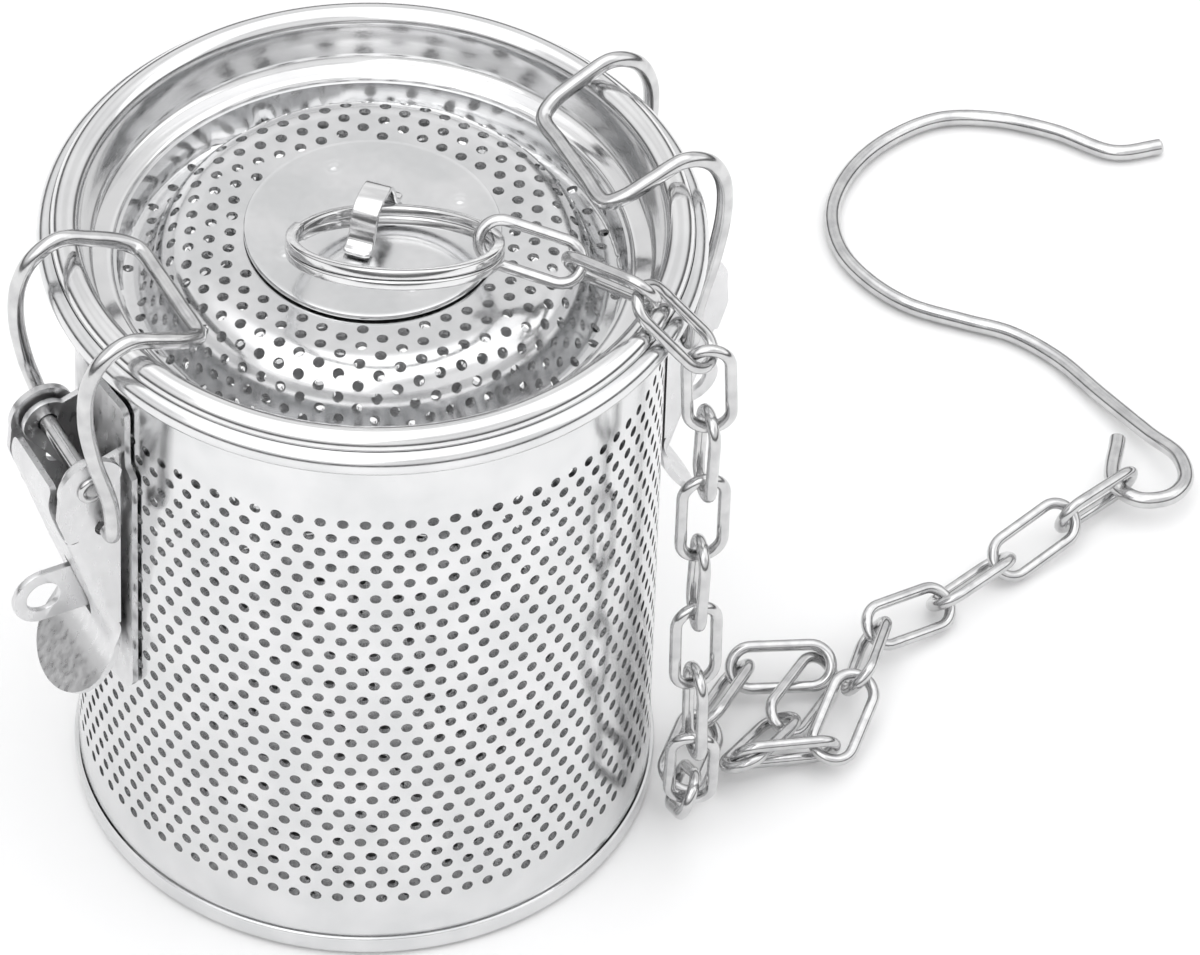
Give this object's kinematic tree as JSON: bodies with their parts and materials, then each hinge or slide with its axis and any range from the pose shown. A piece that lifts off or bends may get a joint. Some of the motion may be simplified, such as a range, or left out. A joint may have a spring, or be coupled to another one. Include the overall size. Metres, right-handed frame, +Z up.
{
  "type": "tea infuser",
  "caption": "Perforated steel infuser basket with a drop-in lid, two toggle latches that clamp the lid, and a chain with an S hook.",
  "frame": {"origin": "on the basket's axis, at the plane its foot ring stands on", "axes": "+Z up along the basket's axis, +X towards the right latch, -X towards the left latch, +Y away from the chain's side"},
  "size_m": [0.1803, 0.1048, 0.0975],
  "materials": {
    "sheet_steel": "bright stainless sheet, fine satin",
    "polished_steel": "polished stainless",
    "latch_steel": "pressed stainless, tumbled",
    "wire_steel": "bright drawn stainless wire"
  },
  "bodies": {
    "basket": {"basket_wall": "sheet_steel", "basket_bottom": "sheet_steel", "latch_base_left": "latch_steel", "latch_base_right": "latch_steel", "pivot_pin_left": "wire_steel", "pivot_pin_right": "wire_steel"},
    "lid": {"lid_ring": "polished_steel", "lid_dome": "sheet_steel", "lid_plate": "sheet_steel", "ring_lug": "polished_steel", "chain_link_01": "wire_steel", "chain_link_02": "wire_steel", "chain_link_03": "wire_steel", "chain_link_04": "wire_steel", "chain_link_05": "wire_steel", "chain_link_06": "wire_steel", "chain_link_07": "wire_steel", "chain_link_08": "wire_steel", "chain_link_09": "wire_steel", "chain_link_10": "wire_steel", "chain_link_11": "wire_steel", "chain_link_12": "wire_steel", "chain_link_13": "wire_steel", "chain_link_14": "wire_steel", "chain_link_15": "wire_steel", "chain_link_16": "wire_steel", "chain_link_17": "wire_steel", "chain_link_18": "wire_steel", "chain_link_19": "wire_steel", "chain_link_20": "wire_steel", "chain_link_21": "wire_steel", "chain_link_22": "wire_steel", "chain_link_23": "wire_steel"},
    "split_ring": {"split_ring": "polished_steel"},
    "hook": {"hook": "wire_steel"},
    "lever_left": {"lever_left": "latch_steel"},
    "lever_right": {"lever_right": "latch_steel"},
    "bail_left": {"bail_left": "wire_steel"},
    "bail_right": {"bail_right": "wire_steel"}
  },
  "joints": [
    {"name": "lever_left_turn", "type": "hinge", "parent": "basket", "child": "lever_left", "pos_m": [-0.0384, 0, 0.0654], "axis": [0, 1, 0], "range_deg": [0, 145]},
    {"name": "lever_right_turn", "type": "hinge", "parent": "basket", "child": "lever_right", "pos_m": [0.0384, 0, 0.0654], "axis": [0, -1, 0], "range_deg": [0, 145]},
    {"name": "bail_left_swing", "type": "hinge", "parent": "basket", "child": "bail_left", "pos_m": [-0.0742, 0, 0.0497], "axis": [0, -1, 0], "range_deg": [0, 20]},
    {"name": "bail_right_swing", "type": "hinge", "parent": "basket", "child": "bail_right", "pos_m": [0.0742, 0, 0.0497], "axis": [0, 1, 0], "range_deg": [0, 20]},
    {"name": "lid_lift", "type": "slide", "parent": "basket", "child": "lid", "axis": [0, 0, 1], "range_m": [0, 0.01035]},
    {"name": "split_ring_spin", "type": "hinge", "parent": "lid", "child": "split_ring", "pos_m": [-0.00225, -0.0101, 0.09115], "axis": [0.2056, 0.3818, 0.9011], "continuous": true},
    {"name": "hook_swivel", "type": "hinge", "parent": "lid", "child": "hook", "pos_m": [0.1006, -0.0026, 0.0036], "axis": [0, 0, 1], "range_deg": [-8, 8]}
  ],
  "couplings": [
    {"joint": "lever_left_turn", "follows": "lid_lift", "rad_per_m": 244.49},
    {"joint": "lever_right_turn", "follows": "lid_lift", "rad_per_m": 244.49},
    {"joint": "bail_left_swing", "follows": "lid_lift", "rad_per_m": 33.723},
    {"joint": "bail_right_swing", "follows": "lid_lift", "rad_per_m": 33.723}
  ]
}
